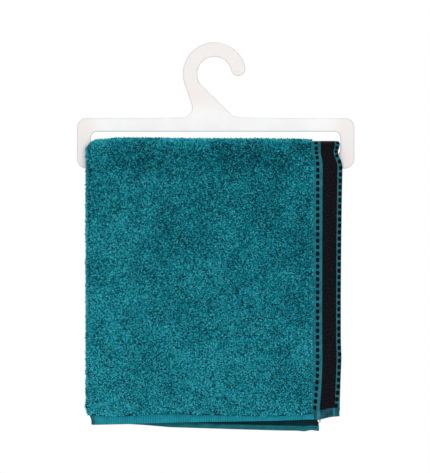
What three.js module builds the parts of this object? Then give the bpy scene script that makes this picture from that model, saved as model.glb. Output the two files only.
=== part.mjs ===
// A terry bath towel, folded into four leaves and draped over a flat moulded hanger. Millimetres, +Z up.
// The origin is where a rail carries the hook: the top of the hook's inner circle, at mid plate.
// +X runs along the bars, -Y faces the front of the folded towel.
import * as THREE from "three";

// Hanger plate
const PLATE = 3;
const PLATE_EDGE = 0.6;
const FRAME_HALF_WIDTH = 166.7;
const FRAME_TOP = -73.8;
const FRAME_BOTTOM = -134.6;
const FRAME_TOP_RADIUS = 11.4;
const FRAME_BOTTOM_RADIUS = 12;
const SLOT_HALF_WIDTH = 149.9;
const SLOT_TOP = -90.1;
const SLOT_BOTTOM = -118.1;
const SLOT_RADIUS = 7.2;
// Hook, drawn about one centre, with a round tip
const HOOK_X = -1.5;
const HOOK_INNER_RADIUS = 20.6;
const HOOK_WIDTH = 17.3;
const HOOK_TIP_ANGLE = 9.7;
const HOOK_NECK_ANGLE = 198.5;
const HOOK_THROAT_ANGLE = 228;

// Cloth: thickness of a folded leaf of terry, of the flat woven border, and the gap between solids
const TERRY = 4.6;
const WOVEN = 1.4;
const GAP = 0.3;
const LEAVES = 4;
const WRAP_INNER_RADIUS = 2.1;
const WRAP_Z = SLOT_BOTTOM - PLATE / 2;
// Clearance between the bend over the bar and the two falls, which lets a fall swing out
const BEND_CLEARANCE = 2.9;
const FALL_TOP = WRAP_Z - BEND_CLEARANCE;
// Folded width: left folds, right folds, and the border's turned edge
const BEND_HALF_WIDTH = SLOT_HALF_WIDTH - GAP;
// The outermost bend stops short, so that it lifts past the slot's round upper corner
const OUTER_BEND_LEFT = -146.4;
const OUTER_FOLD_X = -151.4;
const INNER_FOLD_X = -147.4;
const RIGHT_FOLD_X = 118.3;
const FIELD_RIGHT = 117.4;
const BAND_LEFT = 128.8;
const BAND_RIGHT = 144.6;
const BORDER_RIGHT = 150.4;
const END_HEM_LEFT = 123.6;
const END_HEM_WIDTH = 10;
const TURNED_EDGE = 148.6;
const FAR_END = 147;
// Heights of the lower edges, at the left and at the right of the folded towel
const FIELD_BOTTOM = -432.2;
const HEM_BOTTOM = -441.8;
const HEM_BOTTOM_RIGHT = -438;
const BORDER_HEM_TOP = -424.4;
const BORDER_BOTTOM = -432;
const SECOND_BOTTOM_LEFT = -433;
const SECOND_BOTTOM_RIGHT = -439.6;
const SECOND_HEM_BOTTOM_LEFT = -442.6;
const SECOND_HEM_BOTTOM_RIGHT = -449.3;
const INNER_BOTTOM = -437;
const BACK_RISE = 4;

const ARC_STEPS = 12;
const FRONT = { name: "front", sign: -1, rise: 0 };
const BACK = { name: "back", sign: 1, rise: BACK_RISE };

function finish(color, roughness) {
  return new THREE.MeshStandardMaterial({ color, roughness, metalness: 0 });
}

const polypropylene = finish(0xf0eeed, 0.38);
const terryCloth = finish(0x1a6a77, 0.95);
const wovenTeal = finish(0x1e6e7c, 0.85);
const wovenBlack = finish(0x151518, 0.85);
const hemCloth = finish(0x1c8190, 0.9);

function named(name, geometry, material) {
  const mesh = new THREE.Mesh(geometry, material);
  mesh.name = name;
  return mesh;
}

function radians(degrees) {
  return THREE.MathUtils.degToRad(degrees);
}

// A flat piece with its outline in the X-Z plane, between two distances from the plate's middle plane
function slab(outline, side, near, far, edge) {
  const geometry = new THREE.ExtrudeGeometry(outline, {
    depth: far - near - 2 * edge,
    bevelThickness: edge,
    bevelSize: edge,
    bevelOffset: -edge,
    bevelSegments: 2,
    curveSegments: ARC_STEPS,
  });
  geometry.translate(0, 0, side < 0 ? near + edge : edge - far);
  return geometry.rotateX(Math.PI / 2);
}

// A half ring that passes over the lower bar, from x = left to x = right
function bend(left, right, inner, outer) {
  const ring = new THREE.Shape();
  ring.absarc(0, WRAP_Z, outer, 0, Math.PI, false);
  ring.lineTo(-inner, WRAP_Z);
  ring.absarc(0, WRAP_Z, inner, Math.PI, 0, true);
  ring.closePath();
  const settings = { depth: right - left, bevelEnabled: false, curveSegments: ARC_STEPS };
  const geometry = new THREE.ExtrudeGeometry(ring, settings);
  const turn = new THREE.Matrix4().makeBasis(
    new THREE.Vector3(0, 1, 0),
    new THREE.Vector3(0, 0, 1),
    new THREE.Vector3(1, 0, 0),
  );
  geometry.applyMatrix4(turn);
  return geometry.translate(left, 0, 0);
}

// The round edge where one leaf turns into the next: a half disc, extruded down the fall
function foldEdge(x, outward, side, near, far, bottom) {
  const radius = (far - near) / 2;
  const middle = side.sign * (near + far) / 2;
  const start = outward > 0 ? -Math.PI / 2 : Math.PI / 2;
  const disc = new THREE.Shape();
  disc.absarc(x, middle, radius, start, start + Math.PI, false);
  disc.closePath();
  const depth = FALL_TOP - bottom;
  const settings = { depth, bevelEnabled: false, curveSegments: ARC_STEPS };
  return new THREE.ExtrudeGeometry(disc, settings).translate(0, 0, bottom);
}

// An outline with level top and a bottom edge that slopes from left to right
function fallOutline(left, right, top, bottomLeft, bottomRight) {
  return new THREE.Shape([
    new THREE.Vector2(left, bottomLeft),
    new THREE.Vector2(right, bottomRight),
    new THREE.Vector2(right, top),
    new THREE.Vector2(left, top),
  ]);
}

// Distances of a leaf's two faces from the middle plane: leaf 1 is outermost, leaf 4 lies on the bar
function layer(leaf) {
  const near = WRAP_INNER_RADIUS + (LEAVES - leaf) * (TERRY + GAP);
  return { near, far: near + TERRY };
}

// The woven border is thinner than the pile and lies on the leaf below it and on the turned-under end
const OUTER = layer(1);
const BORDER = { near: OUTER.near, far: OUTER.near + WOVEN };
const TURNED = { near: BORDER.near - GAP - TERRY, far: BORDER.near - GAP };

// The opening that the towel hangs through: round upper corners, and a straight bar to lie on below
function slotOutline() {
  const middle = SLOT_HALF_WIDTH - SLOT_RADIUS;
  const top = SLOT_TOP - SLOT_RADIUS;
  const slot = new THREE.Path();
  slot.absarc(middle, top, SLOT_RADIUS, Math.PI / 2, 0, true);
  slot.lineTo(SLOT_HALF_WIDTH, SLOT_BOTTOM);
  slot.lineTo(-SLOT_HALF_WIDTH, SLOT_BOTTOM);
  slot.absarc(-middle, top, SLOT_RADIUS, Math.PI, Math.PI / 2, true);
  slot.closePath();
  return slot;
}

// Hook and neck as one run: right fillet, straight throat, inner circle, tip, outer circle, left neck
function drawHook(outline) {
  const z = -HOOK_INNER_RADIUS;
  const outer = HOOK_INNER_RADIUS + HOOK_WIDTH;
  const middle = HOOK_INNER_RADIUS + HOOK_WIDTH / 2;
  const tip = radians(HOOK_TIP_ANGLE);
  const tipX = HOOK_X + middle * Math.cos(tip);
  const tipZ = z + middle * Math.sin(tip);
  outline.lineTo(62, FRAME_TOP);
  outline.lineTo(34, FRAME_TOP + 0.9);
  outline.quadraticCurveTo(23.5, FRAME_TOP + 0.9, 18.3, -68.6);
  outline.absarc(HOOK_X, z, HOOK_INNER_RADIUS, radians(HOOK_THROAT_ANGLE), tip, true);
  outline.absarc(tipX, tipZ, HOOK_WIDTH / 2, tip + Math.PI, tip + 2 * Math.PI, false);
  outline.absarc(HOOK_X, z, outer, tip, radians(HOOK_NECK_ANGLE), false);
  outline.lineTo(-30.2, -53.5);
  outline.quadraticCurveTo(-27.8, -60.4, -28.7, -65);
  outline.quadraticCurveTo(-30.4, FRAME_TOP + 1.2, -43, FRAME_TOP + 0.9);
  outline.lineTo(-72, FRAME_TOP);
}

function hanger() {
  const upper = FRAME_HALF_WIDTH - FRAME_TOP_RADIUS;
  const lower = FRAME_HALF_WIDTH - FRAME_BOTTOM_RADIUS;
  const topZ = FRAME_TOP - FRAME_TOP_RADIUS;
  const bottomZ = FRAME_BOTTOM + FRAME_BOTTOM_RADIUS;
  const outline = new THREE.Shape();
  outline.absarc(-upper, topZ, FRAME_TOP_RADIUS, Math.PI / 2, Math.PI, false);
  outline.absarc(-lower, bottomZ, FRAME_BOTTOM_RADIUS, Math.PI, 1.5 * Math.PI, false);
  outline.absarc(lower, bottomZ, FRAME_BOTTOM_RADIUS, -Math.PI / 2, 0, false);
  outline.absarc(upper, topZ, FRAME_TOP_RADIUS, 0, Math.PI / 2, false);
  drawHook(outline);
  outline.closePath();
  outline.holes.push(slotOutline());
  return named("hanger", slab(outline, -1, -PLATE / 2, PLATE / 2, PLATE_EDGE), polypropylene);
}

// The parts of the towel that lie over the bar
function saddle() {
  const group = new THREE.Group();
  const rightEnds = [FIELD_RIGHT, RIGHT_FOLD_X + 4.4, RIGHT_FOLD_X + 4.4, FAR_END - END_HEM_WIDTH];
  for (let leaf = 1; leaf <= LEAVES; leaf++) {
    const { near, far } = layer(leaf);
    const left = leaf === 1 ? OUTER_BEND_LEFT : -BEND_HALF_WIDTH;
    const geometry = bend(left, rightEnds[leaf - 1], near, far);
    group.add(named(`leaf_${leaf}_over_bar`, geometry, terryCloth));
  }
  const strips = [
    ["dotted_stripe_inner_over_bar", FIELD_RIGHT + GAP, BAND_LEFT - 1, BORDER, wovenTeal],
    ["black_band_over_bar", BAND_LEFT - 0.7, BAND_RIGHT - 1, BORDER, wovenBlack],
    ["dotted_stripe_outer_over_bar", BAND_RIGHT - 0.7, BEND_HALF_WIDTH, BORDER, wovenTeal],
    ["end_hem_over_bar", END_HEM_LEFT, END_HEM_LEFT + END_HEM_WIDTH, TURNED, hemCloth],
    ["end_strip_over_bar", END_HEM_LEFT + END_HEM_WIDTH + GAP, TURNED_EDGE, TURNED, terryCloth],
    ["far_end_hem_over_bar", FAR_END - END_HEM_WIDTH + GAP, FAR_END, layer(LEAVES), hemCloth],
  ];
  for (const [name, left, right, { near, far }, material] of strips) {
    group.add(named(name, bend(left, right, near, far), material));
  }
  return group;
}

// The four leaves of one fall, with the round folds that join them in pairs
function leaves(group, side) {
  const lowest = [FIELD_BOTTOM, SECOND_BOTTOM_RIGHT, INNER_BOTTOM, INNER_BOTTOM];
  const highest = [FIELD_BOTTOM, SECOND_BOTTOM_LEFT, INNER_BOTTOM, INNER_BOTTOM];
  const lefts = [OUTER_FOLD_X, OUTER_FOLD_X, INNER_FOLD_X, INNER_FOLD_X];
  const rights = [FIELD_RIGHT, RIGHT_FOLD_X, RIGHT_FOLD_X, FAR_END - END_HEM_WIDTH];
  for (let leaf = 1; leaf <= LEAVES; leaf++) {
    const { near, far } = layer(leaf);
    const left = lefts[leaf - 1] + GAP;
    const right = rights[leaf - 1] - (leaf === 2 || leaf === 3 ? GAP : 0);
    const bottomLeft = highest[leaf - 1] + side.rise;
    const bottomRight = lowest[leaf - 1] + side.rise;
    const outline = fallOutline(left, right, FALL_TOP, bottomLeft, bottomRight);
    const name = `leaf_${leaf}_${side.name}`;
    group.add(named(name, slab(outline, side.sign, near, far, 0.8), terryCloth));
  }
  const folds = [
    ["left_fold_outer", OUTER_FOLD_X, -1, 1, FIELD_BOTTOM],
    ["right_fold", RIGHT_FOLD_X, 1, 2, SECOND_BOTTOM_RIGHT],
    ["left_fold_inner", INNER_FOLD_X, -1, 3, INNER_BOTTOM],
  ];
  for (const [name, x, outward, first, bottom] of folds) {
    const near = layer(first + 1).near;
    const far = layer(first).far;
    const geometry = foldEdge(x, outward, side, near, far, bottom + side.rise);
    group.add(named(`${name}_${side.name}`, geometry, terryCloth));
  }
}

// The flat woven stripes at the right, the towel's end turned under behind them, and the far end's hem
function border(group, side) {
  const low = BORDER_HEM_TOP + side.rise;
  const inner = INNER_BOTTOM + side.rise;
  const hemRight = END_HEM_LEFT + END_HEM_WIDTH;
  const farHem = FAR_END - END_HEM_WIDTH + GAP;
  const strips = [
    ["dotted_stripe_inner", FIELD_RIGHT + GAP, BAND_LEFT - GAP, low, BORDER, wovenTeal, 0.3],
    ["black_band", BAND_LEFT, BAND_RIGHT, low, BORDER, wovenBlack, 0.3],
    ["dotted_stripe_outer", BAND_RIGHT + GAP, BORDER_RIGHT, low, BORDER, wovenTeal, 0.3],
    ["end_hem", END_HEM_LEFT, hemRight, low, TURNED, hemCloth, 0.8],
    ["end_strip", hemRight + GAP, TURNED_EDGE, low, TURNED, terryCloth, 0.8],
    ["far_end_hem", farHem, FAR_END, inner, layer(LEAVES), hemCloth, 0.8],
  ];
  for (const [name, left, right, bottom, { near, far }, material, edge] of strips) {
    const outline = fallOutline(left, right, FALL_TOP, bottom, bottom);
    group.add(named(`${name}_${side.name}`, slab(outline, side.sign, near, far, edge), material));
  }
}

// The flat stitched hems along the towel's long edges, which are the lower edges of the falls
function sideHems(group, side) {
  const { near, far } = OUTER;
  const second = layer(2);
  const rise = side.rise;
  const left = OUTER_FOLD_X + GAP;
  const hems = [
    ["side_hem", left, FIELD_RIGHT, FIELD_BOTTOM, FIELD_BOTTOM,
      HEM_BOTTOM, HEM_BOTTOM_RIGHT, near + 0.9, far - 0.9],
    ["border_hem", FIELD_RIGHT + GAP, BORDER_RIGHT, BORDER_HEM_TOP, BORDER_HEM_TOP,
      HEM_BOTTOM_RIGHT + 1.6, BORDER_BOTTOM, BORDER.near, BORDER.far + 0.9],
    ["second_side_hem", left, RIGHT_FOLD_X + 4.4, SECOND_BOTTOM_LEFT, SECOND_BOTTOM_RIGHT,
      SECOND_HEM_BOTTOM_LEFT, SECOND_HEM_BOTTOM_RIGHT, second.near + 0.9, second.far - 0.9],
  ];
  for (const [name, x0, x1, topLeft, topRight, lowLeft, lowRight, from, to] of hems) {
    const outline = new THREE.Shape([
      new THREE.Vector2(x0, lowLeft + rise),
      new THREE.Vector2(x1, lowRight + rise),
      new THREE.Vector2(x1, topRight - GAP + rise),
      new THREE.Vector2(x0, topLeft - GAP + rise),
    ]);
    group.add(named(`${name}_${side.name}`, slab(outline, side.sign, from, to, 0.5), hemCloth));
  }
}

function fall(side) {
  const group = new THREE.Group();
  leaves(group, side);
  border(group, side);
  sideHems(group, side);
  return group;
}

const towelOnHanger = new THREE.Group();
towelOnHanger.add(hanger(), saddle(), fall(FRONT), fall(BACK));

export default towelOnHanger;
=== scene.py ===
"""A folded terry towel draped over a flat white hanger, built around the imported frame. Metres, +Z up."""
import math

import bmesh
import bpy
import numpy as np
from mathutils import Matrix, Vector


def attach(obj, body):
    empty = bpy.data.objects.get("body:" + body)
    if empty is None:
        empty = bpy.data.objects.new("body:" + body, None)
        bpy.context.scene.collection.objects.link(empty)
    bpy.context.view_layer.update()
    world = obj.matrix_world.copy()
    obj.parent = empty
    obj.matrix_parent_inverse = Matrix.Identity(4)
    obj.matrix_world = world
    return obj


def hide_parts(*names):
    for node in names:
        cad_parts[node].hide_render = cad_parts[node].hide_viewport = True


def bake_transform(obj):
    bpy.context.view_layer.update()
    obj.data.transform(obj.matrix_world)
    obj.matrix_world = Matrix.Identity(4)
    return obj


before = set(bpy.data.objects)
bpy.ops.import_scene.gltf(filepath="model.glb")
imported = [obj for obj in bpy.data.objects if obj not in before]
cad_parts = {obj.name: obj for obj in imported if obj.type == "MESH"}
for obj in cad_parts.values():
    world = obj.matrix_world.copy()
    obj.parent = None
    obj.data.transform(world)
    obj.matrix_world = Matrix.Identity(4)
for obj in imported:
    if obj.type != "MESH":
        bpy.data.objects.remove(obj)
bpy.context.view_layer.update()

MM = 0.001
SEED = 20

# ---------------------------------------------------------------- sizes of the hanger, in metres
PLATE = 3.0 * MM
RIM = 1.3 * MM                       # rounding of the plate's edges
FRAME_HALF_WIDTH = 166.7 * MM
FRAME_TOP, FRAME_BOTTOM = -73.8 * MM, -134.6 * MM
FRAME_TOP_RADIUS, FRAME_BOTTOM_RADIUS = 11.4 * MM, 12 * MM
SLOT_HALF_WIDTH = 149.9 * MM
SLOT_TOP, SLOT_BOTTOM = -90.1 * MM, -118.1 * MM
SLOT_TOP_RADIUS, SLOT_BOTTOM_RADIUS = 7.2 * MM, 6 * MM
HOOK_X = -1.5 * MM
HOOK_INNER_RADIUS, HOOK_WIDTH = 20.6 * MM, 17.3 * MM
HOOK_TIP_ANGLE, HOOK_NECK_ANGLE, HOOK_THROAT_ANGLE = map(math.radians, (12, 198.5, 228))

# ---------------------------------------------------------------- sizes of the towel
# A depth is measured from the hanger's middle plane outwards, and a run from the top line downwards.
GROUND = 0.9 * MM                    # thickness of the ground cloth under the pile
WRAP_Z = SLOT_BOTTOM - PLATE / 2     # centre line that the leaves bend around
LEAF_DEPTHS = [19.1 * MM, 14.2 * MM, 9.3 * MM, 4.4 * MM]   # middle of each leaf, outermost first
BORDER_DEPTH = 17.9 * MM             # middle of the flat woven border
TURNED_DEPTH = 13.4 * MM             # middle of the end that is turned under it
BEND = math.pi / 2 * LEAF_DEPTHS[0]  # length of the outer leaf from the top line to the fall
BACK_RISE = 4 * MM                   # the back's lower edges hang this much higher

LEFT_FOLDS = (-151.6 * MM, -149.2 * MM)   # outer and inner
RIGHT_FOLD = 119.9 * MM
FOLD_RADIUS = 2.45 * MM
FIELD_RIGHT = 117.4 * MM             # where the pile stops and the border begins
BORDER_WIDTH = 32.0 * MM
BAND_SHARES = (10.2 * MM / BORDER_WIDTH, 26.9 * MM / BORDER_WIDTH)   # edges of the black band
DOT_SHARE = 4.8 * MM / BORDER_WIDTH  # middle of the inner column of dots
DOT_PITCH = 7.71 * MM
DOT_WIDTH, DOT_HEIGHT = 4.7 * MM, 4.8 * MM

LEFT_PART = (-118 * MM, -150 * MM)   # the slot's pull on the cloth grows between these
SLOT_PULL_TO = -142.9 * MM           # and brings the outer left fold in to here
CORNER_PULL = 5.8 * MM               # the lower left corner is drawn in by this much
DROOP = 1.6 * MM                     # how far the top line sinks at its left end

LOOP_PITCH = 1.2 * MM
LOOP_JITTER = 0.38                   # in pitches
LOOP_REACH = (1.2, 2.7)              # in millimetres, along the cloth
LOOP_RISE = (0.9, 2.7)               # in millimetres, off the cloth
LOOPS_PER_PIECE = 7000
YARN_RADIUS = 0.34 * MM
STANDING_SHARE = 0.1                 # the share of loops that stand up straight
INNER_LOOP = 1.7 * MM                # loop size in the inner leaves' material
HEM_RIB = 2.8 * MM
HEM_RIB_HEIGHT = 0.26 * MM


def ease(a, b, x):
    """0 below a, 1 above b, smooth between them."""
    t = np.clip((np.asarray(x, float) - a) / (b - a), 0, 1)
    return t * t * (3 - 2 * t)


def hump(value, middle, spread):
    """1 at the middle, falling smoothly to 0 on both sides."""
    return np.exp(-(((value - middle) / spread) ** 2))


def curve_through(points):
    """A smooth function close to a few (place, value) points in millimetres."""
    places, values = np.array(sorted(points), float).T * MM
    fine = np.linspace(places[0], places[-1], 200)
    rough = np.interp(fine, places, values)
    kernel = np.hanning(9)
    soft = np.convolve(np.pad(rough, 4, mode="edge"), kernel / kernel.sum(), mode="valid")
    return lambda at: np.interp(at, fine, soft)


# The towel's right edge as (height, x), then the lower edges of its pile, of its hems and of its second
# layer as (x, height), in millimetres
RIGHT_EDGE = curve_through([(-98, 147), (-105, 149.6), (-115.6, 145.6), (-129, 152), (-146, 151.6),
                            (-175, 151), (-220, 150.4), (-290, 149.9), (-340, 149.9), (-362, 150.7),
                            (-385, 149.7), (-420, 148.6), (-436, 149.4)])
PILE_EDGE = curve_through([(-156, -431), (-112, -432.6), (-87, -430.2), (-55, -429.4), (20, -431.5),
                           (77, -431.8), (117, -429.6)])
HEM_EDGE = curve_through([(-149, -442.2), (-112, -441.6), (-55, -439.8), (77, -437.3), (116, -435.8),
                          (123, -436.8), (131, -434.4), (138, -432.9), (150, -431.8)])
SECOND_EDGE = curve_through([(-150, -439), (-87, -442.4), (-55, -445.2), (30, -447.8), (77, -449.1),
                             (99, -449.4), (107, -450.4), (114, -448.4), (123, -449.8)])


def border_left(z):
    """Where the border begins: it leans in at the top of the bend and near the lower edge."""
    top = 1.9 * MM * ease(-128 * MM, -103 * MM, z)
    low = 4.6 * MM * (1 - ease(-440 * MM, -362 * MM, z)) ** 1.6
    return FIELD_RIGHT - top - low


def field_depth(x):
    """Depth of the outermost leaf, which steps in to the border's depth beside it."""
    return BORDER_DEPTH + (LEAF_DEPTHS[0] - BORDER_DEPTH) * ease(117 * MM, 109 * MM, x)


def rise_of(side):
    """How much higher the lower edges hang on this side: -1 is the front and 1 the back."""
    return BACK_RISE if side > 0 else 0


def patches(points, cell, seed, cells=64):
    """Smooth random values between -1 and 1 over the cloth, in patches about as wide as cell."""
    lattice = np.random.default_rng(seed).uniform(-1, 1, (cells, cells))
    u = (points[:, 0] + 0.2) / cell
    v = (points[:, 2] + 0.5) / cell
    column, row = np.floor(u).astype(int), np.floor(v).astype(int)
    s, t = ease(0, 1, u - column), ease(0, 1, v - row)
    corner = [[lattice[(column + i) % cells, (row + j) % cells] for j in (0, 1)] for i in (0, 1)]
    lower = corner[0][0] * (1 - s) + corner[1][0] * s
    upper = corner[0][1] * (1 - s) + corner[1][1] * s
    return lower * (1 - t) + upper * t


# ---------------------------------------------------------------- mesh helpers
def add_object(name, data):
    thing = bpy.data.objects.new(name, data)
    bpy.context.scene.collection.objects.link(thing)
    return thing


def mesh_of_curve(curve):
    source = add_object("curve_source", curve)
    bpy.context.view_layer.update()
    mesh = bpy.data.meshes.new_from_object(source.evaluated_get(bpy.context.evaluated_depsgraph_get()))
    bpy.data.objects.remove(source)
    return mesh


def fix_normals(piece):
    shape = bmesh.new()
    shape.from_mesh(piece.data)
    bmesh.ops.recalc_face_normals(shape, faces=shape.faces)
    shape.to_mesh(piece.data)
    shape.free()


def mesh_piece(name, verts, faces, materials, face_material=None, weave=None):
    """A mesh object from arrays: verts (n, 3), faces (m, 4) with a repeated last corner for a triangle.
    weave holds each point's place in the flat cloth."""
    mesh = bpy.data.meshes.new(name)
    verts = np.asarray(verts, np.float32)
    faces = np.asarray(faces, np.int32)
    triangle = faces[:, 2] == faces[:, 3]
    counts = np.where(triangle, 3, 4)
    loops = faces.ravel()
    keep = np.ones(loops.shape, bool)
    keep[3::4] = ~triangle
    loops = loops[keep]
    starts = np.concatenate(([0], np.cumsum(counts)[:-1]))
    mesh.vertices.add(len(verts))
    mesh.vertices.foreach_set("co", verts.ravel())
    mesh.loops.add(len(loops))
    mesh.loops.foreach_set("vertex_index", loops)
    mesh.polygons.add(len(faces))
    mesh.polygons.foreach_set("loop_start", starts.astype(np.int32))
    mesh.polygons.foreach_set("loop_total", counts.astype(np.int32))
    if face_material is not None:
        mesh.polygons.foreach_set("material_index", np.asarray(face_material, np.int32))
    mesh.update(calc_edges=True)
    if weave is not None:
        layer = mesh.uv_layers.new(name="weave")
        layer.data.foreach_set("uv", np.asarray(weave, np.float32)[loops].ravel())
    mesh.validate()
    for material in materials:
        mesh.materials.append(material)
    mesh.polygons.foreach_set("use_smooth", np.full(len(mesh.polygons), True))
    return add_object(name, mesh)


def grid_faces(rows, columns, first=0, flip=False, wrap=False):
    """Quads of a grid of points, row by row. wrap joins the last row to the first."""
    r = np.arange(rows if wrap else rows - 1)
    c = np.arange(columns - 1)
    a = r[:, None] * columns + c[None]
    b = ((r + 1) % rows)[:, None] * columns + c[None]
    quads = np.stack([a, a + 1, b + 1, b], -1).reshape(-1, 4) + first
    return quads[:, ::-1] if flip else quads


# ---------------------------------------------------------------- materials
def new_material(name, roughness, sheen=0.0, gloss=0.12):
    material = bpy.data.materials.new(name)
    material.use_nodes = True
    nodes = material.node_tree.nodes
    shader = nodes["Principled BSDF"]
    shader.inputs["Roughness"].default_value = roughness
    shader.inputs["Specular IOR Level"].default_value = gloss
    shader.inputs["Sheen Weight"].default_value = sheen
    shader.inputs["Sheen Roughness"].default_value = 0.45
    return material, nodes, material.node_tree.links, shader


def linear(r, g, b):
    """An sRGB colour of 0 to 255 as linear RGBA."""
    parts = [c / 255 for c in (r, g, b)]
    return [c / 12.92 if c <= 0.04045 else ((c + 0.055) / 1.055) ** 2.4 for c in parts] + [1]


def pile_materials():
    """The dyed yarn in six shades, since each loop takes the dye and the light a little differently:
    four from dark to light, then a greener and a bluer one."""
    shades = [(0, 80, 96), (10, 141, 157), (36, 180, 196), (72, 208, 222), (22, 164, 169), (16, 150, 184)]
    made = []
    for i, shade in enumerate(shades):
        material, _, _, shader = new_material(f"terry_yarn_{i + 1}", 0.85, sheen=0.04)
        shader.inputs["Base Color"].default_value = linear(*shade)
        shader.inputs["Sheen Tint"].default_value = linear(120, 215, 225)
        made.append(material)
    return made


def weave_map(nodes):
    """Each point's place in the flat cloth."""
    where = nodes.new("ShaderNodeUVMap")
    where.uv_map = "weave"
    return where.outputs["UV"]


def noise(nodes, links, where, scale, detail=2.0):
    texture = nodes.new("ShaderNodeTexNoise")
    texture.inputs["Scale"].default_value = scale
    texture.inputs["Detail"].default_value = detail
    links.new(where, texture.inputs["Vector"])
    return texture.outputs["Fac"]


def math_node(nodes, links, operation, *values):
    """A math node whose inputs are sockets or plain numbers."""
    node = nodes.new("ShaderNodeMath")
    node.operation = operation
    for socket, value in zip(node.inputs, values):
        if isinstance(value, float):
            socket.default_value = value
        else:
            links.new(value, socket)
    return node.outputs[0]


def smooth_mask(nodes, links, value, start, end):
    """0 where value is below start and 1 above end."""
    mask = nodes.new("ShaderNodeMapRange")
    mask.interpolation_type = "SMOOTHSTEP"
    mask.inputs["From Min"].default_value = start
    mask.inputs["From Max"].default_value = end
    links.new(value, mask.inputs["Value"])
    return mask.outputs["Result"]


def colour_ramp(nodes, links, value, spread, first, last):
    """From the first colour to the last one as value goes over the spread."""
    ramp = nodes.new("ShaderNodeValToRGB")
    for stop, position, colour in zip(ramp.color_ramp.elements, spread, (first, last)):
        stop.position = position
        stop.color = linear(*colour)
    links.new(value, ramp.inputs["Fac"])
    return ramp.outputs["Color"]


def relief(nodes, links, shader, height, strength, distance, invert=False):
    """Gives the surface a fine relief from a height, without moving it."""
    bump = nodes.new("ShaderNodeBump")
    bump.invert = invert
    bump.inputs["Strength"].default_value = strength
    bump.inputs["Distance"].default_value = distance
    links.new(height, bump.inputs["Height"])
    links.new(bump.outputs["Normal"], shader.inputs["Normal"])


def woven_material(name, low, high, thread=1.1 * MM, ribs=1.0, uneven=0.6, cloud_scale=90,
                   spread=(0.3, 0.95), gloss=0.12):
    """Flat woven cotton: warp and weft threads as two crossed waves, with the dye's slow variation."""
    material, nodes, links, shader = new_material(name, 0.82, gloss=gloss)
    where = weave_map(nodes)
    threads = []
    for direction, stretch in (("X", 1.0), ("Y", ribs)):
        wave = nodes.new("ShaderNodeTexWave")
        wave.bands_direction = direction
        wave.inputs["Scale"].default_value = stretch * math.pi / thread / 10
        wave.inputs["Distortion"].default_value = uneven
        wave.inputs["Detail"].default_value = 1.0
        links.new(where, wave.inputs["Vector"])
        threads.append(wave.outputs["Fac"])
    weave = math_node(nodes, links, "MULTIPLY", *threads)
    cloud = noise(nodes, links, where, cloud_scale, detail=4)
    shade = math_node(nodes, links, "MULTIPLY_ADD", weave, 0.5, cloud)
    links.new(colour_ramp(nodes, links, shade, spread, low, high), shader.inputs["Base Color"])
    relief(nodes, links, shader, weave, 0.6, 0.3 * MM)
    return material


def terry_material(name, low, high):
    """The pile of the inner leaves, with no modelled loops: round loop tops in painted highlight, gaps in
    painted shade.
    """
    material, nodes, links, shader = new_material(name, 0.85)
    loops = nodes.new("ShaderNodeTexVoronoi")
    loops.inputs["Scale"].default_value = 1 / INNER_LOOP
    links.new(weave_map(nodes), loops.inputs["Vector"])
    gap = loops.outputs["Distance"]
    # painted highlight on the loop tops and painted shade in the gaps, from the distance to each loop's
    # middle
    links.new(colour_ramp(nodes, links, gap, (0.1, 0.75), high, low), shader.inputs["Base Color"])
    relief(nodes, links, shader, gap, 0.8, 1.0 * MM, invert=True)
    return material


def plastic_material(name, low, high, warm, roughness):
    """Milky polypropylene: faint clouds, warmer in the hook and the two arms, with a fine moulded grain and
    light scattered just under the skin."""
    material, nodes, links, shader = new_material(name, roughness, gloss=0.3)
    shader.inputs["Subsurface Weight"].default_value = 0.15
    shader.inputs["Subsurface Radius"].default_value = (2 * MM, 2 * MM, 2 * MM)
    shader.inputs["Subsurface Scale"].default_value = 1.0
    where = nodes.new("ShaderNodeTexCoord").outputs["Object"]
    clouds = colour_ramp(nodes, links, noise(nodes, links, where, 28, detail=3), (0.3, 0.7), low, high)
    axes = nodes.new("ShaderNodeSeparateXYZ")
    links.new(where, axes.inputs["Vector"])
    from_middle = math_node(nodes, links, "ABSOLUTE", axes.outputs["X"])
    arms = smooth_mask(nodes, links, from_middle, 138 * MM, 156 * MM)
    hook = smooth_mask(nodes, links, axes.outputs["Z"], -72 * MM, -48 * MM)
    mix = nodes.new("ShaderNodeMix")
    mix.data_type = "RGBA"
    cool_socket, warm_socket = [socket for socket in mix.inputs if socket.type == "RGBA"]
    mixed = [socket for socket in mix.outputs if socket.type == "RGBA"][0]
    warm_socket.default_value = linear(*warm)
    links.new(math_node(nodes, links, "MAXIMUM", arms, hook), mix.inputs["Factor"])
    links.new(clouds, cool_socket)
    links.new(mixed, shader.inputs["Base Color"])
    relief(nodes, links, shader, noise(nodes, links, where, 1800), 0.12, 0.05 * MM)
    return material


YARNS = pile_materials()
# The ground cloth's near-black teal is painted shade: the shadow deep between the loops and under the front
# leaf, darker than the yarn's own dye.
SHADED_GROUND_CLOTH = woven_material("terry_ground_in_shade", (0, 30, 36), (2, 48, 56))
INNER_TERRY = terry_material("terry_inner", (2, 58, 68), (26, 136, 152))
WOVEN_TEAL = woven_material("border_teal", (6, 80, 92), (34, 124, 138), thread=1.0 * MM)
WOVEN_BLACK = woven_material("border_black", (1, 1, 2), (38, 35, 40), thread=1.3 * MM, ribs=0.8, uneven=4,
                             cloud_scale=520, spread=(0.45, 1.0), gloss=0.04)
HEM_TEAL = woven_material("hem_teal", (5, 96, 112), (27, 138, 155), thread=HEM_RIB, ribs=0.15)
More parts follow.
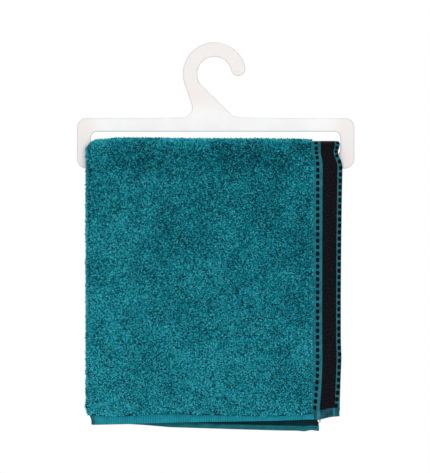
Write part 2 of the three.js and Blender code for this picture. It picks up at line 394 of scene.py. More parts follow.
# The second hem's darker teal is painted shade: the same cloth as the front hem, in the shadow of the front
# leaf.
SHADED_SECOND_TEAL = woven_material("second_hem_teal_in_shade", (10, 76, 85), (28, 112, 121), thread=1.3 * MM, ribs=0.3)
HEM_MIXED = woven_material("border_hem_mixed", (4, 24, 31), (42, 100, 113), thread=2.0 * MM)
HEM_STRIPE = woven_material("border_hem_stripe", (22, 98, 112), (46, 136, 148), thread=1.1 * MM)
FLOATS = woven_material("dot_floats", (2, 2, 3), (11, 10, 13), thread=0.7 * MM, ribs=0.1)
PLASTIC = plastic_material("milky_plastic", (229, 228, 228), (235, 235, 235), (227, 222, 220), 0.4)
# The rim's greyer copy of the plastic is painted shade: the darker line that refraction and the
# sideways-facing rounded edge give.
SHADED_PLASTIC_RIM = plastic_material("milky_plastic_rim_shade", (203, 203, 203), (209, 209, 209), (198, 196, 195), 0.32)


# ---------------------------------------------------------------- hanger
def arc(x, z, radius, start, end, steps=40):
    angles = np.linspace(start, end, steps)
    return [(x + radius * math.cos(a), z + radius * math.sin(a)) for a in angles]


def bent(start, corner, end, steps=10):
    """A quadratic curve from start to end, drawn towards corner."""
    t = np.linspace(0, 1, steps)[:, None]
    p = (1 - t) ** 2 * np.array(start) + 2 * t * (1 - t) * np.array(corner) + t * t * np.array(end)
    return [tuple(row) for row in p]


def hook_outline():
    """From the frame's top on the right, round the inside of the hook and back down its outside."""
    z = -HOOK_INNER_RADIUS
    middle = HOOK_INNER_RADIUS + HOOK_WIDTH / 2
    tip_x = HOOK_X + middle * math.cos(HOOK_TIP_ANGLE)
    tip_z = z + middle * math.sin(HOOK_TIP_ANGLE)
    shoulder = FRAME_TOP + 0.9 * MM
    waist = (-28.7 * MM, -65 * MM)
    return (
        [(62 * MM, FRAME_TOP)]
        + bent((34 * MM, shoulder), (23.5 * MM, shoulder), (18.3 * MM, -68.6 * MM))
        + arc(HOOK_X, z, HOOK_INNER_RADIUS, HOOK_THROAT_ANGLE, HOOK_TIP_ANGLE, 60)
        + arc(tip_x, tip_z, HOOK_WIDTH / 2, HOOK_TIP_ANGLE + math.pi, HOOK_TIP_ANGLE + 2 * math.pi, 30)[1:]
        + arc(HOOK_X, z, HOOK_INNER_RADIUS + HOOK_WIDTH, HOOK_TIP_ANGLE, HOOK_NECK_ANGLE, 70)[1:]
        + bent((-30.2 * MM, -53.5 * MM), (-27.8 * MM, -60.4 * MM), waist)
        + bent(waist, (-30.4 * MM, FRAME_TOP + 1.2 * MM), (-43 * MM, shoulder))[1:]
        + [(-72 * MM, FRAME_TOP)]
    )


def frame_outline():
    upper, lower = FRAME_HALF_WIDTH - FRAME_TOP_RADIUS, FRAME_HALF_WIDTH - FRAME_BOTTOM_RADIUS
    top, bottom = FRAME_TOP - FRAME_TOP_RADIUS, FRAME_BOTTOM + FRAME_BOTTOM_RADIUS
    quarter = math.pi / 2
    return (
        arc(-upper, top, FRAME_TOP_RADIUS, quarter, 2 * quarter, 16)
        + arc(-lower, bottom, FRAME_BOTTOM_RADIUS, 2 * quarter, 3 * quarter, 16)
        + arc(lower, bottom, FRAME_BOTTOM_RADIUS, 3 * quarter, 4 * quarter, 16)
        + arc(upper, top, FRAME_TOP_RADIUS, 0, quarter, 16)
        + hook_outline()
    )


def slot_outline():
    upper, top = SLOT_HALF_WIDTH - SLOT_TOP_RADIUS, SLOT_TOP - SLOT_TOP_RADIUS
    lower, bottom = SLOT_HALF_WIDTH - SLOT_BOTTOM_RADIUS, SLOT_BOTTOM + SLOT_BOTTOM_RADIUS
    return (
        arc(upper, top, SLOT_TOP_RADIUS, 0, math.pi / 2, 12)
        + arc(-upper, top, SLOT_TOP_RADIUS, math.pi / 2, math.pi, 12)
        + arc(-lower, bottom, SLOT_BOTTOM_RADIUS, math.pi, 1.5 * math.pi, 5)
        + arc(lower, bottom, SLOT_BOTTOM_RADIUS, 1.5 * math.pi, 2 * math.pi, 5)
    )


def hanger_plate():
    """The moulded plate, with its edges rounded all round."""
    curve = bpy.data.curves.new("hanger_plate", "CURVE")
    curve.dimensions = "2D"
    curve.fill_mode = "BOTH"
    curve.extrude = PLATE / 2 - RIM
    curve.bevel_depth = RIM
    curve.bevel_resolution = 3
    curve.offset = -RIM
    for outline in (frame_outline(), slot_outline()):
        spline = curve.splines.new("POLY")
        spline.points.add(len(outline) - 1)
        for point, (x, z) in zip(spline.points, outline):
            point.co = (x, z, 0, 1)
        spline.use_cyclic_u = True
    mesh = mesh_of_curve(curve)
    mesh.transform(Matrix.Rotation(math.pi / 2, 4, "X"))
    shape = bmesh.new()
    shape.from_mesh(mesh)
    bmesh.ops.remove_doubles(shape, verts=shape.verts, dist=0.01 * MM)
    bmesh.ops.recalc_face_normals(shape, faces=shape.faces)
    for face in shape.faces:
        flat = abs(face.normal.y) > 0.95
        # the rounded edge faces take the greyer copy, painted shade along the rim
        face.material_index = 0 if flat else 1
        face.smooth = not flat
    shape.to_mesh(mesh)
    shape.free()
    mesh.name = "hanger_plate"
    mesh.materials.clear()
    mesh.materials.append(PLASTIC)
    mesh.materials.append(SHADED_PLASTIC_RIM)
    plate = add_object("hanger_plate", mesh)
    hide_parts("hanger")
    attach(plate, "hanger")


# ---------------------------------------------------------------- how the cloth hangs
def waves(x, run, side):
    """The slow in-and-out of the hanging leaves, the same for all of them, so that they stay apart."""
    fall = np.maximum(run - BEND, 0)
    grow = ease(0, 0.09, fall)
    shape = (
        0.9 * np.sin(x * 21 + side + 3.0 * fall)
        + 0.6 * np.sin(fall * 26 + x * 6 + 1.3 * side)
        + 0.5 * np.sin(x * 47 - fall * 11 + 2.1)
    )
    dent = -1.2 * hump(run - BEND, 15 * MM, 9 * MM) * (1 + 0.4 * np.sin(x * 55))
    arch = hump(x, -92 * MM, 45 * MM) * (1 - ease(0, BEND, run))
    return (shape * grow + dent + arch) * MM


def squeeze(x, depth, run, z):
    """Draws the left side in where the cloth goes through the slot, and again at the lower corner."""
    inner = 1 - depth / LEAF_DEPTHS[0]
    released = ease((0.1 + 0.55 * inner) * BEND, (0.55 + 0.8 * inner) * BEND, run)
    slot_pull = (SLOT_PULL_TO - LEFT_FOLDS[0]) * (1 - released)
    corner_pull = CORNER_PULL * (1 - ease(-438 * MM, -422 * MM, z))
    return x + (slot_pull + corner_pull) * ease(*LEFT_PART, x)


def place(x, depth, run, side):
    """Points and outward normals. side is -1 in front and 1 behind; run is measured from the top line."""
    x, depth, run = (np.asarray(v, float) for v in np.broadcast_arrays(x, depth, run))
    angle = np.clip(run / BEND, 0, 1) * (math.pi / 2)
    fall = np.maximum(run - BEND, 0)
    radius = depth + waves(x, run, side)
    y = side * radius * np.sin(angle)
    z = WRAP_Z + radius * np.cos(angle) - fall
    right_end = 0.6 * ease(60 * MM, 112 * MM, x) * (x < FIELD_RIGHT - 4 * MM)
    droop = DROOP * (ease(*LEFT_PART, x) + right_end)
    z = z - droop * np.cos(angle) ** 2 * (depth / LEAF_DEPTHS[0])
    points = np.stack([squeeze(x, depth, run, z), y, z], -1)
    normals = np.stack([np.zeros_like(y), side * np.sin(angle), np.cos(angle)], -1)
    return points, normals


def border_x(share, z):
    """x at a share of the border's width, from the pile's edge to the turned edge."""
    left = border_left(z)
    return left + share * (RIGHT_EDGE(z) - left)


def height_of(depth, run):
    """The height at a run, apart from the waves and the droop."""
    angle = np.clip(run / BEND, 0, 1) * (math.pi / 2)
    return WRAP_Z + depth * np.cos(angle) - np.maximum(run - BEND, 0)


def run_to(z):
    """The run at which the fall reaches height z."""
    return BEND + WRAP_Z - z


# ---------------------------------------------------------------- ground cloth
def half_turn(x, depth, way, steps=9):
    """The middle line of a fold, from the leaf nearer the outside to the next one in. way is the side of x
    that it bulges to: 1 right, -1 left."""
    angles = np.linspace(math.pi / 2, -math.pi / 2, steps)[1:-1]
    return [(x + way * FOLD_RADIUS * math.cos(a), depth + FOLD_RADIUS * math.sin(a)) for a in angles]


def outward(x, depth):
    """Unit steps in x and depth, square to a line of points seen from above."""
    flow = np.stack([np.gradient(x), np.gradient(depth)])
    flow /= np.linalg.norm(flow, axis=0)
    return np.stack([-flow[1], flow[0]])


def length_along(x, depth):
    return np.concatenate([[0], np.cumsum(np.hypot(np.diff(x), np.diff(depth)))])


CLOTH_MATERIALS = [SHADED_GROUND_CLOTH, WOVEN_TEAL, WOVEN_BLACK, INNER_TERRY]
GROUND_SHADE_SLOT, TEAL, BLACK, TERRY = range(len(CLOTH_MATERIALS))


def border_section():
    """The woven border's part of the section, from its turned edge to the pile."""
    half = (BORDER_DEPTH - TURNED_DEPTH) / 2
    middle = TURNED_DEPTH + half
    section = []
    for a in np.linspace(-math.pi / 2, math.pi / 2, 7):
        share = 1 - (half / BORDER_WIDTH) * (1 - math.cos(a))
        section.append(("share", share, middle + half * math.sin(a), TEAL))
    band_start, band_end = BAND_SHARES
    shares = np.concatenate([
        np.linspace(0.93, band_end, 4),
        np.linspace(band_end, band_start, 9)[1:],
        np.linspace(band_start, 0, 7)[1:],
    ])
    margin = 0.001
    for share in shares:
        in_band = band_start + margin < share < band_end + margin
        section.append(("share", share, BORDER_DEPTH, BLACK if in_band else TEAL))
    return section


def cloth_section():
    """The folded cloth seen from above, from its turned end to its far end: (kind, place, depth, material).
    The place is a share of the border's width in the border, and an x elsewhere."""
    leaf_1, leaf_2, leaf_3, leaf_4 = LEAF_DEPTHS
    outer_left, inner_left = LEFT_FOLDS
    section = [("x", x * MM, TURNED_DEPTH, GROUND_SHADE_SLOT) for x in (124.2, 129, 134, 139, 143.5)]
    section += border_section()
    section += [("x", x, float(field_depth(x)), GROUND_SHADE_SLOT) for x in np.linspace(114 * MM, outer_left, 40)]
    section += [("x", x, d, GROUND_SHADE_SLOT) for x, d in half_turn(outer_left, (leaf_1 + leaf_2) / 2, -1)]
    # The second leaf takes the ground cloth's painted shade, for the shadowed strip that shows under the
    # front hem.
    section += [("x", x, leaf_2, GROUND_SHADE_SLOT) for x in np.linspace(outer_left, RIGHT_FOLD, 40)]
    section += [("x", x, d, GROUND_SHADE_SLOT) for x, d in half_turn(RIGHT_FOLD, (leaf_2 + leaf_3) / 2, 1)]
    section += [("x", x, leaf_3, TERRY) for x in np.linspace(RIGHT_FOLD, inner_left, 40)]
    section += [("x", x, d, GROUND_SHADE_SLOT) for x, d in half_turn(inner_left, (leaf_3 + leaf_4) / 2, -1)]
    section += [("x", x, leaf_4, TERRY) for x in np.linspace(inner_left, 147 * MM, 40)]
    return section


def lower_edge(x, depth, side):
    """Height of the ground cloth's lower edge, by leaf: the second leaf hangs lowest."""
    outer = HEM_EDGE(x) + 1.2 * MM + 2 * MM * (x > FIELD_RIGHT)
    second = SECOND_EDGE(x) + 1.2 * MM
    inner = -437 * MM + 1.5 * MM * np.sin(x * 30)
    to_second = ease(LEAF_DEPTHS[0] - 1.2 * MM, LEAF_DEPTHS[1] + 1.2 * MM, depth)
    to_inner = ease(LEAF_DEPTHS[1] - 1.2 * MM, LEAF_DEPTHS[2] + 1.2 * MM, depth)
    z = outer + (second - outer) * to_second
    z = z + (inner - z) * to_inner
    turned_end = (x > 123.7 * MM) & (depth < BORDER_DEPTH - 1 * MM)
    z = np.where(turned_end, -425 * MM, z)
    return z + rise_of(side)


def ground_cloth(side, name):
    """The whole folded ground cloth of one half: a thin closed solid, pile apart."""
    kinds, places, depth, material = map(np.array, zip(*cloth_section()))
    is_border = kinds == "share"
    nominal = np.where(is_border, FIELD_RIGHT + places * BORDER_WIDTH, places)
    end = run_to(lower_edge(nominal, depth, side))
    bend_runs = np.linspace(0, BEND, 14)[:, None] + 0 * end
    fall_runs = BEND + np.linspace(0, 1, 64)[1:, None] * (end - BEND)
    runs = np.concatenate([bend_runs, fall_runs])
    z = height_of(depth[None], runs)
    x = np.where(is_border, border_x(places, z), nominal)
    # half the cloth's thickness to each side of the section's line
    out_x, out_depth = outward(nominal, depth) * GROUND / 2
    layers = [place(x + sign * out_x, depth + sign * out_depth, runs, side)[0] for sign in (1, -1)]
    rows, columns = runs.shape
    verts = np.concatenate(layers).reshape(-1, 3)
    count = rows * columns
    outer = grid_faces(rows, columns)
    inner = grid_faces(rows, columns, first=count, flip=True)
    index = np.arange(count).reshape(rows, columns)
    rims = []
    for line, flip in ((index[0], True), (index[-1], False), (index[:, 0], False), (index[:, -1], True)):
        quad = np.stack([line[:-1], line[1:], line[1:] + count, line[:-1] + count], -1)
        rims.append(quad[:, ::-1] if flip else quad)
    faces = np.concatenate([outer, inner, *rims])
    slots = np.tile(material[:-1], rows - 1)
    slots = np.concatenate([slots, slots] + [np.full(len(rim), GROUND_SHADE_SLOT) for rim in rims])
    length = np.broadcast_to(length_along(nominal, depth), runs.shape)
    weave = np.stack([length, runs], -1).reshape(-1, 2)
    piece = mesh_piece(name, verts, faces, CLOTH_MATERIALS, slots, weave=np.concatenate([weave, weave]))
    fix_normals(piece)
    return piece


# ---------------------------------------------------------------- pile
def loop_tubes(roots, normals, leans, random):
    """Yarn loops: each a bent three-sided tube that stands on two feet and leans over."""
    steps, sides = 5, 3
    count = len(roots)
    cross = np.cross(normals, leans)
    reach = random.uniform(*LOOP_REACH, count)[:, None] * MM
    rise = random.uniform(*LOOP_RISE, count)[:, None] * MM
    standing = random.random(count)[:, None] < STANDING_SHARE
    rise = np.where(standing, rise * 0.6 + 2.1 * MM, rise)
    reach = np.where(standing, reach * 0.5, reach)
    spread = random.uniform(0.8, 1.2, count)[:, None] * MM / 2
    twist = random.uniform(-0.9, 0.9, count)[:, None]
    along = np.linspace(0, math.pi, steps)[None]
    forward = reach * np.sin(along) ** 1.3
    up = rise * np.sin(along) ** 0.7 - 0.5 * MM
    wide = -spread * np.cos(along) * (1 + 0.5 * np.sin(along))
    lift = wide * np.sin(twist) * np.sin(along) * 0.8
    wide = wide * np.cos(twist * np.sin(along))
    path = (
        roots[:, None]
        + forward[..., None] * leans[:, None]
        + (up + lift)[..., None] * normals[:, None]
        + wide[..., None] * cross[:, None]
    )
    tangent = np.gradient(path, axis=1)
    tangent /= np.linalg.norm(tangent, axis=2)[..., None]
    main = reach[..., None] * leans[:, None] + rise[..., None] * normals[:, None]
    flat = np.cross(cross[:, None], main)
    flat /= np.linalg.norm(flat, axis=2)[..., None]
    second = np.cross(tangent, flat)
    second /= np.linalg.norm(second, axis=2)[..., None]
    first = np.cross(second, tangent)
    thick = YARN_RADIUS * random.uniform(0.85, 1.15, count)[:, None] * (0.75 + 0.3 * np.sin(along))
    turn = np.arange(sides) / sides * 2 * math.pi
    ring = np.cos(turn)[:, None] * first[:, :, None] + np.sin(turn)[:, None] * second[:, :, None]
    verts = path[:, :, None] + thick[:, :, None, None] * ring
    base = np.arange(count)[:, None, None] * steps * sides
    s = np.arange(steps - 1)[None, :, None] * sides
    k = np.arange(sides)[None, None]
    k2 = (k + 1) % sides
    quads = np.stack([base + s + k, base + s + k2, base + s + sides + k2, base + s + sides + k], -1)
    quads = quads.reshape(count, -1, 4)
    # one triangle closes each end
    caps = np.stack([
        base[:, 0] + np.array([[2, 1, 0, 0]]),
        base[:, 0] + (steps - 1) * sides + np.array([[0, 1, 2, 2]]),
    ], 1)
    faces = np.concatenate([quads, caps], 1)
    return verts.reshape(-1, 3), faces


def lean_directions(points, normals, across, random):
    """Directions in the cloth's surface: a slow drift over the towel, and each loop's own turn. Near the
    lower edge the loops hang down."""
    down = np.cross(normals, across)
    drift = 3.2 * patches(points, 30 * MM, 5) + 1.4 * patches(points, 11 * MM, 6)
    angle = drift + 0.55 * random.normal(0, 1, len(points))
    lean = np.cos(angle)[:, None] * across + np.sin(angle)[:, None] * down
    near_lower_edge = 1 - ease(-432 * MM, -421 * MM, points[:, 2])
    lean[:, 2] -= 1.6 * near_lower_edge
    lean -= (lean * normals).sum(1)[:, None] * normals
    return lean / np.linalg.norm(lean, axis=1)[:, None]


def shade_of(points, random):
    """Which of the six yarn shades each loop takes: soft lighter and darker patches, paler to the left and
    below, with a painted highlight along the top line and painted shade in the dent under it."""
    lightest, greener, bluer = 3, 4, 5
    x, z = points[:, 0], points[:, 2]
    patch = patches(points, 34 * MM, 7) + 0.8 * patches(points, 13 * MM, 8)
    patch = patch - 4.5 * x - 6 * (z + 0.27)
    # painted highlight where the bend meets the light, painted shade in the dent below it
    painted_top_light_and_dent_shade = 0.8 * ease(-110 * MM, -100 * MM, z) - 0.5 * hump(z, -123 * MM, 11 * MM)
    level = 1.5 + 0.5 * patch + painted_top_light_and_dent_shade + random.normal(0, 1.3, len(points))
    index = np.clip(np.round(level), 0, lightest).astype(int)
    odd = random.random(len(points))
    index = np.where(odd < 0.12, greener, index)
    return np.where(odd > 0.9, bluer, index)


def build_pile(name, points, normals, across, random):
    """Pieces of loops from the top down, from roots with their normals and one direction in the surface."""
    order = np.argsort(points[:, 2])[::-1]
    points, normals, across = points[order], normals[order], across[order]
    lean = lean_directions(points, normals, across, random)
    shade = shade_of(points, random)
    parts = math.ceil(len(points) / LOOPS_PER_PIECE)
    pieces = []
    for i, part in enumerate(np.array_split(np.arange(len(points)), parts)):
        verts, faces = loop_tubes(points[part], normals[part], lean[part], random)
        slots = np.repeat(shade[part], faces.shape[1])
        pieces.append(mesh_piece(f"{name}_{i + 1}", verts, faces.reshape(-1, 4), YARNS, slots))
    return pieces


def jittered(width, height, random):
    """Roots in staggered rows over a rectangle from 0, 0."""
    columns, rows = int(width / LOOP_PITCH), int(height / LOOP_PITCH)
    a, b = np.meshgrid(np.arange(columns), np.arange(rows))
    a = a + 0.5 * (b % 2) + random.uniform(-LOOP_JITTER, LOOP_JITTER, a.shape)
    b = b + random.uniform(-LOOP_JITTER, LOOP_JITTER, b.shape)
    return a.ravel() * LOOP_PITCH, b.ravel() * LOOP_PITCH


def field_roots(side, random):
    """Roots over the outer face of the outermost leaf."""
    start, end = FIELD_RIGHT - 1.0 * MM, LEFT_FOLDS[0]
    a, run = jittered(start - end + 2 * LOOP_PITCH, run_to(-436 * MM), random)
    x = start - a
    z = height_of(LEAF_DEPTHS[0], run)
    shift = border_left(z) - FIELD_RIGHT
    x = x + shift * ease(60 * MM, 117 * MM, x)
    ragged = 0.5 * MM * np.sin(x * 410) + 0.5 * MM * np.sin(x * 173 + 1.0)
    keep = (z > PILE_EDGE(x) + rise_of(side) + 1.7 * MM + ragged) & (x > end - 0.5 * MM)
    x, run = x[keep], run[keep]
    points, normals = place(x, field_depth(x) + GROUND / 2, run, side)
    across = np.tile([1.0, 0, 0], (len(x), 1))
    return points, normals, across


def fold_roots(side, random, x, depth, way, bottom):
    """Roots round the outside of a fold between two leaves, which bulges to the right or left of x."""
    radius = FOLD_RADIUS + GROUND / 2
    a, run = jittered(math.pi * radius + LOOP_PITCH, run_to(bottom), random)
    turn = math.pi / 2 - a / radius
    points, flat = place(x + way * radius * np.cos(turn), depth + radius * np.sin(turn), run, side)
    sideways = np.array([1.0, 0, 0]) * way
    normals = np.cos(turn)[:, None] * sideways + np.sin(turn)[:, None] * flat
    across = np.sin(turn)[:, None] * sideways - np.cos(turn)[:, None] * flat
    return points, normals, across


def towel_pile(side, label):
    """The pile of one half, as pieces over the outermost leaf and pieces round the folds."""
    random = np.random.default_rng(SEED + side)
    field = build_pile(f"pile_{label}", *field_roots(side, random), random)
    folds = []
    leaf_1, leaf_2, leaf_3, leaf_4 = LEAF_DEPTHS
    for name, x, depth, way, bottom in (
        ("left_outer", LEFT_FOLDS[0], (leaf_1 + leaf_2) / 2, -1, -431 * MM),
        ("left_inner", LEFT_FOLDS[1], (leaf_3 + leaf_4) / 2, -1, -434 * MM),
        ("right", RIGHT_FOLD, (leaf_2 + leaf_3) / 2, 1, -436 * MM),
    ):
        roots = fold_roots(side, random, x, depth, way, bottom + rise_of(side))
        folds += build_pile(f"pile_{name}_fold_{label}", *roots, random)
    return field, folds


# ---------------------------------------------------------------- border dots
def border_surface(x, run, side):
    """Points, outward normals and downward directions on the border's face, which curls round its turned
    edge."""
    half = (BORDER_DEPTH - TURNED_DEPTH) / 2
    radius = half + GROUND / 2
    edge = RIGHT_EDGE(height_of(BORDER_DEPTH, run)) - half
    curl = np.maximum(x - edge, 0) / half
    depth = BORDER_DEPTH + GROUND / 2 - radius * (1 - np.cos(curl))
    points, flat = place(np.minimum(x, edge) + radius * np.sin(curl), depth, run, side)
    normals = flat * np.cos(curl)[..., None] + np.array([1.0, 0, 0]) * np.sin(curl)[..., None]
    downs = np.stack([np.zeros_like(x), flat[..., 2] * side, -flat[..., 1] * side], -1)
    return points, normals, downs


def float_dots(centres, runs, side, width, heights, strands=5):
    """Black weft floats: short raised strands side by side, one patch to each dot."""
    steps, sides = 5, 5
    heights = heights[:, None, None]
    offset = np.linspace(-0.5, 0.5, strands)[None, :, None]
    s = np.linspace(-1, 1, steps)[None, None]
    x = centres[:, None, None] + s * width * (1 - 0.9 * offset * offset) / 2
    run = runs[:, None, None] + offset * heights * 0.86 + 0 * s
    points, normals, downs = border_surface(x, run, side)
    middle = points + normals * (0.42 * MM * (1 - s ** 4))[..., None]
    radius = (heights / strands * 0.62 * (1 - 0.45 * s ** 6))[..., None, None]
    turn = (2 * math.pi * np.arange(sides) / sides)[:, None]
    ring = np.cos(turn) * downs[..., None, :] + 0.75 * np.sin(turn) * normals[..., None, :]
    verts = middle[..., None, :] + radius * ring
    tubes = len(centres) * strands
    faces = [quad for i in range(tubes) for quad in grid_wrap(i * steps * sides, steps, sides)]
    return verts.reshape(-1, 3), np.array(faces)


def grid_wrap(base, steps, sides):
    """Quads of a closed tube of rings, with a fan over each end."""
    quads = []
    for s in range(steps - 1):
        for k in range(sides):
            a, b = base + s * sides + k, base + s * sides + (k + 1) % sides
            quads.append((a, b, b + sides, a + sides))
    last = base + (steps - 1) * sides
    for k in range(1, sides - 1):
        quads.append((base, base + k + 1, base + k, base + k))
        quads.append((last, last + k, last + k + 1, last + k + 1))
    return quads


def border_dots(side, label):
    """Two columns of dots. Their rows crowd together where the cloth dents in below the bend."""
    last = run_to(-423 * MM + rise_of(side))
    runs = np.arange(1.075 * DOT_PITCH, last, DOT_PITCH)
    runs = runs + 4.2 * MM * hump(runs, 16 * MM, 10 * MM)
    outer_runs = runs - 2.6 * MM * ease(0, 1.5 * BEND, runs)
    z = height_of(BORDER_DEPTH, outer_runs)
    near_lower_edge = 1 - ease(-425 * MM, -375 * MM, z)
    outer_x = RIGHT_EDGE(z) - 2.0 * MM - 2.2 * MM * near_lower_edge ** 2
    inner_x = border_x(DOT_SHARE, height_of(BORDER_DEPTH, runs))
    verts, faces, count = [], [], 0
    for centres, at in ((inner_x, runs), (outer_x, outer_runs)):
        heights = DOT_HEIGHT * np.minimum(1, 1.15 * np.gradient(at) / DOT_PITCH - 0.15)
        column_verts, column_faces = float_dots(centres, at, side, DOT_WIDTH, heights)
        verts.append(column_verts)
        faces.append(column_faces + count)
        count += len(column_verts)
    verts, faces = np.concatenate(verts), np.concatenate(faces)
    weave = verts[:, [0, 2]]
    piece = mesh_piece(f"border_dots_{label}", verts, faces, [FLOATS], weave=weave)
    fix_normals(piece)
    return piece


# ---------------------------------------------------------------- hems
def hem_strip(name, side, path, top, bottom, thick, materials, zone=None):
    """A turned hem along a path of (x, depth) points: a flat strip with a round lower edge and fine ribs.
    top and bottom give heights at x, and zone gives the material there."""
    xs, depths = np.array(path).T
    count = len(xs)
    low, high = bottom(xs) + rise_of(side), top(xs) + rise_of(side)
    out_x, out_depth = outward(xs, depths)
    half = thick / 2
    length = length_along(xs, depths)
    ribs = HEM_RIB_HEIGHT * np.sin(length / HEM_RIB * 2 * math.pi)
    levels = (0, 0.3, 0.6, 0.86)
    rings = [(high + (low + half - high) * t, np.full(count, half) + ribs) for t in levels]
    for a in np.linspace(0, math.pi, 9):
        rings.append((low + half - half * np.sin(a), (half + 0.15 * MM) * np.cos(a)))
    rings += [(high + (low + half - high) * t, np.full(count, -half)) for t in levels[::-1]]
    verts, weave = [], []
    for z, out in rings:
        points, _ = place(xs + out * out_x, depths + out * out_depth, run_to(z), side)
        verts.append(points)
        weave.append(np.stack([length, z], -1))
    ring_count = len(rings)
    faces = [grid_faces(ring_count, count, wrap=True)]
    for column in (0, count - 1):
        loop = np.arange(ring_count) * count + column
        ends = [(loop[i], loop[i + 1], loop[-2 - i], loop[-1 - i]) for i in range(ring_count // 2)]
        ends[-1] = ends[-1][:2] + (ends[-1][3],) * 2
        faces.append(np.array(ends))
    slots = None
    if zone is not None:
        strip_slots = np.tile(zone((xs[1:] + xs[:-1]) / 2), ring_count)
        slots = np.concatenate([strip_slots] + [np.zeros(len(f), int) for f in faces[1:]])
    piece = mesh_piece(name, np.concatenate(verts), np.concatenate(faces), materials, slots,
                       weave=np.concatenate(weave))
    fix_normals(piece)
    return piece


def border_hem_zone(x):
    """Which weave shows along the border's hem: 1 for the two light stripes, 0 for the dark mix."""
    inner_stripe = (x > 121.8 * MM) & (x < 125.6 * MM)
    outer_stripe = (x > 140.6 * MM) & (x < 143.6 * MM)
    return np.where(inner_stripe | outer_stripe, 1, 0)


def side_hem_zone(x):
    """Round the left fold the hem turns away from the light, so it takes painted shade there: the second
    hem's darker teal.
    """
    return np.where(x < LEFT_FOLDS[0] + 1.6 * MM, 1, 0)


def side_hem_top(x):
    return PILE_EDGE(x) + 0.4 * MM


def border_hem_top(x):
    return -424.9 * MM + 3 * MM * ease(120 * MM, 142 * MM, x)


def second_hem_top(x):
    return SECOND_EDGE(x) + 6 * MM


def hems(side, label):
    """The side hem under the pile and round the left fold, the border's own hem, and the second layer's."""
    leaf_1, leaf_2 = LEAF_DEPTHS[:2]
    fold = half_turn(LEFT_FOLDS[0], (leaf_1 + leaf_2) / 2, -1, steps=12)
    front = [(x, leaf_1) for x in np.linspace(118.0 * MM, LEFT_FOLDS[0], 400)]
    second = [(x, leaf_2) for x in np.linspace(LEFT_FOLDS[0], RIGHT_FOLD + 4.2 * MM, 400)]
    border = [(x, BORDER_DEPTH) for x in np.linspace(118.2 * MM, 148.6 * MM, 80)]
    side_hem = hem_strip(f"sewn_side_hem_{label}", side, front + fold, side_hem_top, HEM_EDGE,
                         2.0 * MM, [HEM_TEAL, SHADED_SECOND_TEAL], side_hem_zone)
    border_hem = hem_strip(f"sewn_border_hem_{label}", side, border, border_hem_top, HEM_EDGE,
                           1.7 * MM, [HEM_MIXED, HEM_STRIPE], border_hem_zone)
    second_hem = hem_strip(f"sewn_second_side_hem_{label}", side, second, second_hem_top, SECOND_EDGE,
                           2.2 * MM, [SHADED_SECOND_TEAL])
    return [side_hem, border_hem, second_hem]


def loose_threads(side, label):
    """Two short sewing-thread ends where the border hem meets the side hem."""
    curve = bpy.data.curves.new(f"loose_threads_{label}", "CURVE")
    curve.dimensions = "3D"
    curve.bevel_depth = 0.28 * MM
    curve.bevel_resolution = 2
    curve.use_fill_caps = True
    for start, end in (((123.4, -433), (126.6, -439.4)), ((124.2, -434), (124.0, -440.6))):
        t = np.linspace(0, 1, 8)
        x = (start[0] + (end[0] - start[0]) * t + 0.6 * np.sin(t * 4)) * MM
        z = (start[1] + (end[1] - start[1]) * t) * MM + rise_of(side)
        points, _ = place(x, BORDER_DEPTH + 1.5 * MM - t * MM, run_to(z), side)
        spline = curve.splines.new("POLY")
        spline.points.add(len(points) - 1)
        for point, co in zip(spline.points, points):
            point.co = (*co, 1)
    mesh = mesh_of_curve(curve)
    mesh.name = f"loose_threads_{label}"
    mesh.materials.clear()
    mesh.materials.append(YARNS[0])
    return add_object(f"loose_threads_{label}", mesh)


# ---------------------------------------------------------------- towel
def hang(piece, body, side=0):
    """A piece with a side keeps the bend over the bar that it was built with, its transform applied and no
    body; one without rides on the fall alone.
    """
    if side:
        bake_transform(piece)
    else:
        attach(piece, body)


def towel_half(side, label):
    body = f"{label}_fall"
    cloth = ground_cloth(side, f"towel_cloth_{label}")
    cloth_stems = ("leaf_2", "leaf_3", "leaf_4", "end_hem", "end_strip", "far_end_hem", "right_fold",
                   "left_fold_inner", "left_fold_outer", "dotted_stripe_inner", "black_band",
                   "dotted_stripe_outer")
    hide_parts(*[f"{stem}_{label}" for stem in cloth_stems])
    hang(cloth, body, side)
    field, folds = towel_pile(side, label)
    for piece in field + folds:
        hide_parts(f"leaf_1_{label}")
        hang(piece, body, side)
    dots = border_dots(side, label)
    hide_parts(f"dotted_stripe_inner_{label}")
    hang(dots, body, side)
    threads = loose_threads(side, label)
    hang(threads, body)
    strips = hems(side, label)
    for piece, node in zip(strips, ("side_hem", "border_hem", "second_side_hem")):
        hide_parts(f"{node}_{label}")
        hang(piece, body)
    return cloth


# ---------------------------------------------------------------- stage, light and camera
def stage():
    bpy.ops.mesh.primitive_circle_add(vertices=96, radius=1.4, fill_type="NGON", location=(0, 0, -0.58))
    floor = bpy.context.object
    floor.name = "floor"
    material, _, _, shader = new_material("pale_floor", 0.9)
    shader.inputs["Base Color"].default_value = (0.93, 0.93, 0.93, 1)
    floor.data.materials.append(material)


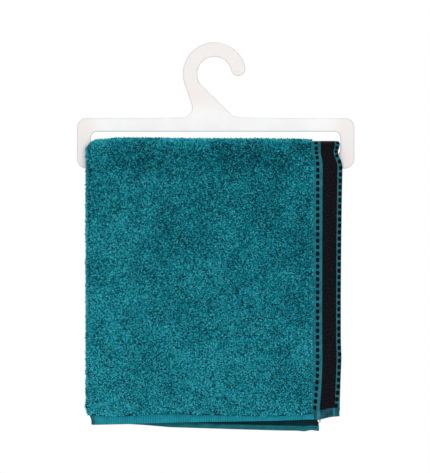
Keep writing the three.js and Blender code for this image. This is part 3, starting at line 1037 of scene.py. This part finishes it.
def world_light():
    """A white studio: bright as the backdrop, dim as a light."""
    world = bpy.data.worlds.new("studio")
    bpy.context.scene.world = world
    world.use_nodes = True
    nodes, links = world.node_tree.nodes, world.node_tree.links
    background = nodes["Background"]
    background.inputs["Color"].default_value = (1, 1, 1, 1)
    seen = nodes.new("ShaderNodeLightPath")
    strength = nodes.new("ShaderNodeMapRange")
    strength.inputs["To Min"].default_value = 0.27
    strength.inputs["To Max"].default_value = 1.0
    links.new(seen.outputs["Is Camera Ray"], strength.inputs["Value"])
    links.new(strength.outputs["Result"], background.inputs["Strength"])


def area_light(name, place_at, target, size, power):
    light = bpy.data.lights.new(name, "AREA")
    light.shape = "DISK"
    light.size = size
    light.energy = power
    lamp = add_object(name, light)
    direction = Vector(np.subtract(target, place_at))
    lamp.rotation_euler = direction.to_track_quat("-Z", "Y").to_euler()
    lamp.location = place_at


def lights():
    middle = (0, 0, -0.25)
    area_light("key", (-0.5, -2.0, 1.5), middle, size=1.0, power=19)
    area_light("fill", (0.2, -3.0, 0.0), middle, size=1.6, power=48)
    area_light("rear", (0.4, 2.0, 1.2), middle, size=1.2, power=30)


VIEW_CENTRE_X, VIEW_CENTRE_Z = -0.8 * MM, -216.2 * MM
VIEW_WIDTH = 516 * MM
CAMERA_DISTANCE = 9.0


def camera():
    """Straight in front and far away, so that the view is VIEW_WIDTH wide at the towel's front."""
    data = bpy.data.cameras.new("camera")
    data.sensor_fit = "HORIZONTAL"
    data.sensor_width = 36
    data.lens = data.sensor_width * (CAMERA_DISTANCE - LEAF_DEPTHS[0]) / VIEW_WIDTH
    data.clip_end = 50
    eye = add_object("camera", data)
    eye.location = (VIEW_CENTRE_X, -CAMERA_DISTANCE, VIEW_CENTRE_Z)
    eye.rotation_euler = (math.pi / 2, 0, 0)
    bpy.context.scene.camera = eye


bpy.context.scene.view_settings.view_transform = "Standard"
camera()
world_light()
lights()
stage()
hanger_plate()
saddle_nodes = [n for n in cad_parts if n.endswith("_over_bar")]
cloths = [towel_half(-1, "front"), towel_half(1, "back")]
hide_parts(*saddle_nodes)
